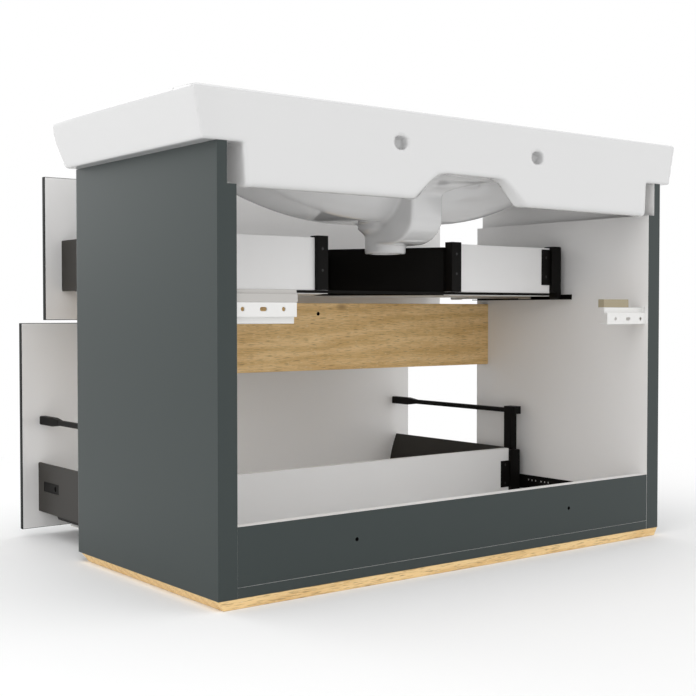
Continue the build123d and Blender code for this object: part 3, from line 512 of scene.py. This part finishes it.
def basin_distance(x, v, w):
    """Signed distance of the washbasin, negative inside the ceramic."""
    u = np.sqrt(x * x + 1.0)
    # rim and deck: the sides lean in and the front curls under
    rear_end = -past_rear - v
    lean = (rim_half_top - rim_half_foot) / lean_height
    rim_side = (u - (rim_half_foot + lean * w)) / math.sqrt(1 + lean * lean)
    drop = np.clip((nose_height - w) / nose_height, 0, 1.15)
    rim_nose = (v - (rim_front - nose_tuck * drop**1.4)) / np.sqrt(1 + (0.59 * drop**0.4) ** 2)
    plan = round_cut([rim_side, rim_nose], 14)
    deck = deck_height + deck_rise * v / rim_front
    rim = round_cut([plan, rear_end, w - deck, -w], 3)
    # underside of the bowl
    across = np.maximum(u - bowl_flat_half, 0)
    behind = np.maximum(bowl_rear - v, 0) / 68
    before = np.maximum(v - bowl_front, 0) / 128
    under = -bowl_depth + bowl_curve * across**2
    under = under + bowl_depth * behind**2 + bowl_depth * before**2
    side_slope = 2 * bowl_curve * across
    slope = np.sqrt(1 + side_slope**2 + (2.35 * behind) ** 2 + (1.25 * before) ** 2)
    bowl = round_cut([(under - w) / slope, w - 20], 6)
    body = blend_join(rim, bowl, 14)
    # rear apron with its arch, and the skirts that run forward from its ends
    end = u - (apron_half + 0.06 * w)
    apron = round_cut([rear_end, v - apron_thickness, end, -apron_foot - w, w - 30], 2)
    half_wide = arch_half - 1.3 * (v - rim_rear)
    high = np.maximum(w + 75, 0) / arch_height
    arch = 0.965 * np.sin(0.5 * np.pi * np.clip((u / half_wide - 0.36) / 0.62, 0, 1))
    apron = round_cut([apron, -(np.sqrt(high**2 + arch**2) - 1) * 50], 1.5)
    skirt_foot = -60 + 0.3 * np.maximum(v - apron_thickness, 0)
    skirt = round_cut(
        [end, skirt_inner - u, v - skirt_front, rear_end, skirt_foot - w, w - 30], 2
    )
    body = blend_join(body, np.minimum(apron, skirt), 4)
    # ceiling behind the bowl, and the duct that falls from it into the neck
    ceiling = round_cut([u - ceiling_half, -ceiling_height - w, v - 150, rear_end, w - 30], 5)
    body = blend_join(body, ceiling, 8)
    far = np.maximum(v - apron_thickness, 0) / throat_depth
    low = np.maximum(w + throat_w, 0) / throat_height
    throat_scale = throat_height + (throat_depth - throat_height) * far / (far + low + 1e-6)
    throat = (1 - np.sqrt(far**2 + low**2)) * throat_scale
    bend = (np.maximum(elbow_v - v, 0) / 60) ** 2 + (np.minimum(w + elbow_w, 0) / 42) ** 2
    duct_rear = np.where(w < -elbow_w, (np.sqrt(bend) - 1) * 48, throat)
    widening = np.clip((w + throat_w) / throat_height, 0, 1) ** 2.5
    duct_side = u - (duct_half + duct_flare * widening)
    duct = round_cut([duct_side, duct_rear, v - duct_front, w - 8], 3)
    body = blend_join(body, duct, 7)
    body = round_cut([body, rim_rear - v], 3)
    # neck and the hip above it
    reach = np.sqrt(x * x + (v - drain_v) ** 2)
    neck = round_cut([reach - neck_radius, -neck_foot - w, w + 60], 2)
    hip_side = reach - (hip_radius - 1.1 * np.maximum(-hip_w - w, 0))
    hip = round_cut([hip_side * 0.8, -104 - w, w + 60], 1.5)
    body = blend_join(body, blend_join(neck, hip, 3), 4)
    # hollow under the tap hole
    pocket = round_cut([np.abs(x) - pocket_half, 16 - v, v - 78, w - 48, 4 - w], 6)
    body = round_cut([body, -pocket], 3)
    # the bowl itself: steep walls below the deck, a shallow floor that falls to the drain
    well_floor = np.minimum(under + 13.5, 14)
    draft = 0.16 * (lean_height - w)
    well_side = (u - (well_half - draft)) * 0.98
    well_back = ((well_rear + draft * 0.6) - v) * 0.98
    well_nose = (v - (well_front - draft)) * 0.98
    well_plan = round_cut([well_side, np.maximum(well_back, well_nose)], well_corner)
    well_depth = (well_floor - w) / np.where(under < 0.5, slope, 1)
    well = round_cut([well_plan, well_depth], well_foot_round)
    body = round_cut([body, -well], 6)
    # drain seat and bore, tap hole, overflow, and the two holes for the wall bolts
    seat = round_cut([reach - seat_radius, -seat_w - w], 1)
    body = round_cut([body, -seat], 1.5)
    body = round_cut([body, -(reach - bore_radius)], 2)
    tap = np.maximum(np.sqrt(x * x + (v - tap_v) ** 2) - tap_radius, 30 - w)
    body = round_cut([body, -tap], 2)
    overflow = np.sqrt(x * x + (w - overflow_w) ** 2) - overflow_radius
    overflow = np.maximum(overflow, np.maximum(93 - v, v - 150))
    body = round_cut([body, -overflow], 2.5)
    aside = np.maximum(np.abs(u - bolt_half_spacing) - bolt_stretch, 0)
    bolt = np.sqrt(aside**2 + (w - bolt_w) ** 2) - bolt_radius
    return round_cut([body, -np.maximum(bolt, v - bolt_depth)], 1.2)


def surface_mesh(name, distance, low, high, step, settle=6):
    """Wrap a closed mesh round the zero level of a signed distance and settle it on the level."""
    axes = [np.arange(a - step * 1.5, b + step * 2.5, step) for a, b in zip(low, high)]
    middle = 0.5 * (axes[0][0] + axes[0][-1])
    axes[0] = axes[0] - middle
    grid = np.meshgrid(*axes, indexing="ij")
    field = distance(*grid)
    inside = field < 0
    counts = inside.shape
    cells = tuple(count - 1 for count in counts)
    total = np.zeros(cells + (3,))
    hits = np.zeros(cells)
    corners = [(i, j, k) for i in (0, 1) for j in (0, 1) for k in (0, 1)]

    def corner(array, offset):
        return array[tuple(slice(o, o + c) for o, c in zip(offset, cells))]

    for first in corners:
        for axis in range(3):
            if first[axis]:
                continue
            second = tuple(o + (1 if n == axis else 0) for n, o in enumerate(first))
            a = corner(field, first)
            b = corner(field, second)
            crossed = (a < 0) != (b < 0)
            share = np.where(crossed, a / np.where(crossed, a - b, 1), 0)
            hits += crossed
            for n in range(3):
                offset = first[n] + (share if n == axis else 0)
                total[..., n] += np.where(crossed, offset, 0)
    used = hits > 0
    index = -np.ones(cells, dtype=np.int64)
    index[used] = np.arange(used.sum())
    where = np.argwhere(used)
    points = (where + total[used] / hits[used][:, None]) * step
    points += np.array([axis[0] for axis in axes])
    faces = []
    for axis in range(3):
        b_axis, c_axis = (axis + 1) % 3, (axis + 2) % 3
        here = [slice(1, -1)] * 3
        here[axis] = slice(0, -1)
        ahead = list(here)
        ahead[axis] = slice(1, None)
        a = inside[tuple(here)]
        b = inside[tuple(ahead)]
        for outward in (True, False):
            places = np.argwhere((a & ~b) if outward else (~a & b))
            start = places + np.array([0 if n == axis else 1 for n in range(3)])
            ring = []
            for step_b, step_c in ((0, 0), (1, 0), (1, 1), (0, 1)):
                cell = start.copy()
                cell[:, b_axis] -= step_b
                cell[:, c_axis] -= step_c
                ring.append(index[cell[:, 0], cell[:, 1], cell[:, 2]])
            quad = np.stack(ring if outward else ring[::-1], axis=1)
            faces.append(quad)
    faces = np.concatenate(faces)
    # settle every point on the level along the slope
    small = 0.05
    for _ in range(settle):
        value = distance(*points.T)
        rises = []
        for axis in np.eye(3):
            ahead, back = (distance(*(points + shift * axis).T) for shift in (small, -small))
            rises.append((ahead - back) / (2 * small))
        slope = np.stack(rises, axis=1)
        size = np.maximum((slope**2).sum(axis=1), 0.05)
        move = -(value / size)[:, None] * slope
        length = np.linalg.norm(move, axis=1, keepdims=True)
        points += move * np.minimum(1, 0.35 * step / np.maximum(length, 1e-9))
    mesh = bpy.data.meshes.new(name)
    mesh.from_pydata(points.tolist(), [], faces.tolist())
    mesh.validate()
    return mesh


def basin_row_distance(x, y, z):
    """The washbasin's distance at a point in the object's frame, in mm."""
    return basin_distance(x, basin_origin.y - y, z - basin_origin.z)


basin = surface_mesh(
    "washbasin_glazed", basin_row_distance, basin_low, basin_high, grid_step
)
basin.transform(Matrix.Diagonal((0.001, 0.001, 0.001, 1)))
for face in basin.polygons:
    face.use_smooth = True
glaze = finish("basin_glaze", glaze_white, 0.12, Coat_Weight=0.5, Coat_Roughness=0.04)
add_piece("glazed_basin", basin, [glaze], "cabinet", ["washbasin"])


# Hangers: bent 2 mm steel plates, powder-coated white, screwed to the sides inside.
# Their wall holes and slot take the wall screws; a packing block rests on each.
def loose_boxes(name):
    """The lowest and highest corners of each separate solid of a CAD node."""
    shape = bmesh.new()
    shape.from_mesh(nodes[name].data)
    bmesh.ops.remove_doubles(shape, verts=shape.verts, dist=0.00001)
    boxes = []
    waiting = set(shape.verts)
    while waiting:
        group = {waiting.pop()}
        edge_of_group = list(group)
        while edge_of_group:
            vertex = edge_of_group.pop()
            for edge in vertex.link_edges:
                other = edge.other_vert(vertex)
                if other in waiting:
                    waiting.remove(other)
                    group.add(other)
                    edge_of_group.append(other)
        places = np.array([vertex.co for vertex in group])
        boxes.append((places.min(axis=0), places.max(axis=0)))
    shape.free()
    return sorted(boxes, key=lambda pair: tuple(pair[0]))


def screw_tree(name):
    """Pan-head screws with a cross recess, one on each point, pointing along its direction."""
    tree = bpy.data.node_groups.new(name, "GeometryNodeTree")
    face = tree.interface
    face.new_socket("Geometry", in_out="INPUT", socket_type="NodeSocketGeometry")
    for label in ("Head Radius", "Head Height", "Shank Radius", "Shank Length"):
        face.new_socket(label, in_out="INPUT", socket_type="NodeSocketFloat")
    face.new_socket("Finish", in_out="INPUT", socket_type="NodeSocketMaterial")
    face.new_socket("Geometry", in_out="OUTPUT", socket_type="NodeSocketGeometry")
    inputs = new_node(tree, "NodeGroupInput")
    outputs = new_node(tree, "NodeGroupOutput")

    def scaled(socket, factor):
        part = new_node(tree, "ShaderNodeMath", operation="MULTIPLY")
        tree.links.new(socket, part.inputs[0])
        part.inputs[1].default_value = factor
        return part.outputs[0]

    def vector(x=None, y=None, z=None):
        part = new_node(tree, "ShaderNodeCombineXYZ")
        for axis, socket in zip("XYZ", (x, y, z)):
            if socket is not None:
                tree.links.new(socket, part.inputs[axis])
        return part.outputs[0]

    def shifted(geometry, offset):
        part = new_node(tree, "GeometryNodeTransform")
        tree.links.new(geometry, part.inputs["Geometry"])
        tree.links.new(offset, part.inputs["Translation"])
        return part.outputs[0]

    radius, height = inputs.outputs["Head Radius"], inputs.outputs["Head Height"]
    head = new_node(tree, "GeometryNodeMeshCone", Vertices=24)
    tree.links.new(scaled(radius, 0.72), head.inputs["Radius Bottom"])
    tree.links.new(radius, head.inputs["Radius Top"])
    tree.links.new(height, head.inputs["Depth"])
    cut = new_node(tree, "GeometryNodeMeshBoolean", operation="DIFFERENCE")
    tree.links.new(head.outputs["Mesh"], cut.inputs["Mesh 1"])
    for long_way, short_way in (("x", "y"), ("y", "x")):
        bar = new_node(tree, "GeometryNodeMeshCube")
        size = {long_way: scaled(radius, 1.05), short_way: scaled(radius, 0.24), "z": height}
        tree.links.new(vector(**size), bar.inputs["Size"])
        sunk = shifted(bar.outputs["Mesh"], vector(z=scaled(height, -0.45)))
        tree.links.new(sunk, cut.inputs["Mesh 2"])
    shank = new_node(tree, "GeometryNodeMeshCylinder", Vertices=12)
    tree.links.new(inputs.outputs["Shank Radius"], shank.inputs["Radius"])
    tree.links.new(inputs.outputs["Shank Length"], shank.inputs["Depth"])
    screw = new_node(tree, "GeometryNodeJoinGeometry")
    tree.links.new(shifted(cut.outputs["Mesh"], vector(z=scaled(height, 0.5))), screw.inputs[0])
    shank_place = new_node(tree, "ShaderNodeMath", operation="MULTIPLY_ADD")
    tree.links.new(inputs.outputs["Shank Length"], shank_place.inputs[0])
    shank_place.inputs[1].default_value = 0.5
    tree.links.new(height, shank_place.inputs[2])
    placed_shank = shifted(shank.outputs["Mesh"], vector(z=shank_place.outputs[0]))
    tree.links.new(placed_shank, screw.inputs[0])
    way = new_node(tree, "GeometryNodeInputNamedAttribute", data_type="FLOAT_VECTOR")
    way.inputs["Name"].default_value = "direction"
    turn = new_node(tree, "FunctionNodeAlignRotationToVector", axis="Z")
    tree.links.new(way.outputs["Attribute"], turn.inputs["Vector"])
    copies = new_node(tree, "GeometryNodeInstanceOnPoints")
    tree.links.new(inputs.outputs["Geometry"], copies.inputs["Points"])
    tree.links.new(screw.outputs[0], copies.inputs["Instance"])
    tree.links.new(turn.outputs["Rotation"], copies.inputs["Rotation"])
    real = new_node(tree, "GeometryNodeRealizeInstances")
    tree.links.new(copies.outputs["Instances"], real.inputs["Geometry"])
    dressed = new_node(tree, "GeometryNodeSetMaterial")
    tree.links.new(real.outputs["Geometry"], dressed.inputs["Geometry"])
    tree.links.new(inputs.outputs["Finish"], dressed.inputs["Material"])
    tree.links.new(dressed.outputs["Geometry"], outputs.inputs["Geometry"])
    return tree


def grown(tree, start_mesh, **values):
    """The plain mesh that a tree makes from a start mesh; values name the tree's inputs."""
    helper = bpy.data.objects.new("helper", start_mesh)
    scene.collection.objects.link(helper)
    modifier = helper.modifiers.new("tree", "NODES")
    modifier.node_group = tree
    identifiers = {
        item.name: item.identifier for item in tree.interface.items_tree if item.in_out == "INPUT"
    }
    for label, value in values.items():
        modifier[identifiers[label.replace("_", " ")]] = value
    evaluated = helper.evaluated_get(bpy.context.evaluated_depsgraph_get())
    done = bpy.data.meshes.new_from_object(evaluated)
    bpy.data.objects.remove(helper)
    return done


screws = screw_tree("pan_head_screws")


def add_screws(node_name, along, material, body, head_height):
    """Replace a node's plain rods with screws; along is "x" for outwards or "y" for forwards."""
    places, ways = [], []
    radius = length = 0
    for low, high in loose_boxes(node_name):
        middle = (low + high) / 2
        if along == "x":
            way = math.copysign(1, middle[0])
            places.append((low[0] if way > 0 else high[0], middle[1], middle[2]))
            ways.append((way, 0, 0))
            radius, length = (high[2] - low[2]) / 2, high[0] - low[0]
        else:
            places.append((middle[0], high[1], middle[2]))
            ways.append((0, -1, 0))
            radius, length = (high[2] - low[2]) / 2, high[1] - low[1]
    points = bpy.data.meshes.new(node_name)
    points.from_pydata(places, [], [])
    direction = points.attributes.new("direction", "FLOAT_VECTOR", "POINT")
    direction.data.foreach_set("vector", [value for way in ways for value in way])
    mesh = grown(
        screws,
        points,
        Head_Radius=float(radius),
        Head_Height=head_height,
        Shank_Radius=float(radius) * 0.45,
        Shank_Length=float(length) - head_height,
        Finish=material,
    )
    mesh.materials.clear()
    add_piece(f"{node_name}_turned", mesh, [material], body, [node_name])


bracket_white = fine_grain(finish("bracket_white", (0.78, 0.775, 0.76), 0.35), 500, 0.15)
block_colours = {"left": (0.36, 0.31, 0.21), "right": (0.50, 0.485, 0.465)}
for side in ("left", "right"):
    add_piece(
        f"{side}_hanger",
        soft_mesh(f"{side}_hanger_bracket", 0.0005),
        [bracket_white],
        "cabinet",
        [f"{side}_hanger_bracket"],
    )
    add_piece(
        f"{side}_packing",
        soft_mesh(f"{side}_hanger_block", 0.0008),
        [fine_grain(finish(f"{side}_block_board", block_colours[side], 0.7), 120, 0.4)],
        "cabinet",
        [f"{side}_hanger_block"],
    )
zinc = finish("zinc", (0.55, 0.55, 0.54), 0.34, metallic=1.0)
add_screws("hanger_screws", "x", zinc, "cabinet", 0.002)


# Runners: rolled steel profiles, powder-coated black; one on each side panel, a middle one that
# travels half as far, and one hooked under the drawer side. Nylon pads keep them apart.
runner_black = finish("runner_black", (0.005, 0.0045, 0.004), 0.45, Specular_IOR_Level=0.10)
fine_grain(runner_black, 800, 0.15)
nylon = finish("nylon", (0.66, 0.65, 0.60), 0.5)
for side in ("left", "right"):
    for level in ("upper", "lower"):
        add_piece(
            f"{side}_{level}_outer_member",
            soft_mesh(f"{side}_{level}_cabinet_runner", 0.0003),
            [runner_black],
            "cabinet",
            [f"{side}_{level}_cabinet_runner"],
        )
        add_piece(
            f"{side}_{level}_middle_member",
            soft_mesh(f"{level}_{side}_middle_rail", 0.0003),
            [zinc],
            f"{level}_runner_middle",
            [f"{level}_{side}_middle_rail"],
        )
        add_piece(
            f"{side}_{level}_inner_member",
            soft_mesh(f"{level}_{side}_drawer_rail", 0.0003),
            [runner_black],
            f"{level}_drawer",
            [f"{level}_{side}_drawer_rail"],
        )
add_screws("runner_screws", "x", zinc, "cabinet", 0.0018)
for level in ("upper", "lower"):
    nodes[f"{level}_rail_sliders"].data.materials.clear()
    nodes[f"{level}_rail_sliders"].data.materials.append(nylon)


# Drawer sides: folded sheet steel in a warm black coat, straight outside and curved inside.
# Caps of the same coat close them at the rear and hold the back panels.
side_black = finish("side_black", (0.022, 0.019, 0.015), 0.42, Specular_IOR_Level=0.25)
fine_grain(side_black, 900, 0.15)
cap_black = finish("cap_black", (0.004, 0.0035, 0.003), 0.5, Specular_IOR_Level=0.10)
fine_grain(cap_black, 700, 0.2)
for level in ("upper", "lower"):
    for side in ("left", "right"):
        add_piece(
            f"{level}_{side}_wall",
            soft_mesh(f"{level}_{side}_drawer_side", 0.0004),
            [side_black],
            f"{level}_drawer",
            [f"{level}_{side}_drawer_side"],
        )
        add_piece(
            f"{level}_{side}_cap",
            soft_mesh(f"{level}_{side}_rear_bracket", 0.0006),
            [cap_black],
            f"{level}_drawer",
            [f"{level}_{side}_rear_bracket"],
        )


# Drawer boards: white-faced bottoms and back panels; their downward faces are painted mid grey as
# painted shade.
# The upper drawer's bottom is cut out round the trap and edged with a black strip.
# a mid grey that stands in for the shade under the drawer boards: painted shade
underside_shade_grey = (0.56, 0.56, 0.55)
white_face = fine_grain(finish("white_face", (0.87, 0.865, 0.86), 0.42), 600, 0.10)
shaded_underside = fine_grain(finish("shaded_underside", underside_shade_grey, 0.5), 600, 0.15)
for name, body in (
    ("upper_drawer_bottom", "upper_drawer"),
    ("lower_drawer_bottom", "lower_drawer"),
    ("upper_left_back_panel", "upper_drawer"),
    ("upper_right_back_panel", "upper_drawer"),
    ("lower_back_panel", "lower_drawer"),
):
    board = soft_mesh(name, 0.0005)
    # faces that point down get the grey: painted shade under the boards
    paint_faces(board, 1, lambda centre, normal: normal.z < -0.7)
    add_piece(f"{name}_board", board, [white_face, shaded_underside], body, [name])


# Recess and posts: black moulded plastic round the cut-out, so that nothing falls on the trap.
# The posts are screwed to the ends of the two back panels.
recess_black = finish("recess_black", (0.004, 0.0035, 0.003), 0.5, Specular_IOR_Level=0.10)
fine_grain(recess_black, 900, 0.2)
for name in ("siphon_recess", "left_recess_post", "right_recess_post", "upper_edge_strip"):
    add_piece(
        f"{name}_moulding",
        soft_mesh(name, 0.0006),
        [recess_black],
        "upper_drawer",
        [name],
    )


# Drawer fronts: 10 mm boards, slate outside and white inside, with a dark edge all round.
# They overlap the sides of the cabinet and are bolted to the drawer sides from inside.
front_edge = finish("front_edge", (0.006, 0.007, 0.007), 0.5, Specular_IOR_Level=0.15)
for level in ("upper", "lower"):
    front = soft_mesh(f"{level}_front", 0.0008)
    paint_faces(front, 1, lambda centre, normal: normal.y > 0.9)
    paint_faces(front, 2, lambda centre, normal: abs(normal.y) < 0.9)
    add_piece(
        f"{level}_face",
        front,
        [slate_lacquer, white_lacquer, front_edge],
        f"{level}_drawer",
        [f"{level}_front"],
    )


# Gallery: black square rails on both sides of the lower drawer, held by rear posts and by
# moulded connectors on the front.
for side in ("left", "right"):
    for name in ("gallery_post", "gallery_rail", "gallery_connector"):
        add_piece(
            f"{side}_{name}_bar",
            soft_mesh(f"{side}_{name}", 0.0007),
            [cap_black],
            "lower_drawer",
            [f"{side}_{name}"],
        )


# Fixings: height adjusters and front fixings of black-coated steel, and black screws.
# They clamp the fronts to the drawer sides and hold the back panels to the caps and posts.
for name in ("lower_adjusters", "upper_front_fixings", "lower_front_fixings"):
    nodes[name].data.materials.clear()
    nodes[name].data.materials.append(recess_black)
screw_black = finish("screw_black", (0.03, 0.03, 0.03), 0.35, metallic=0.6)
for level in ("upper", "lower"):
    add_screws(f"{level}_drawer_screws", "y", screw_black, f"{level}_drawer", 0.002)
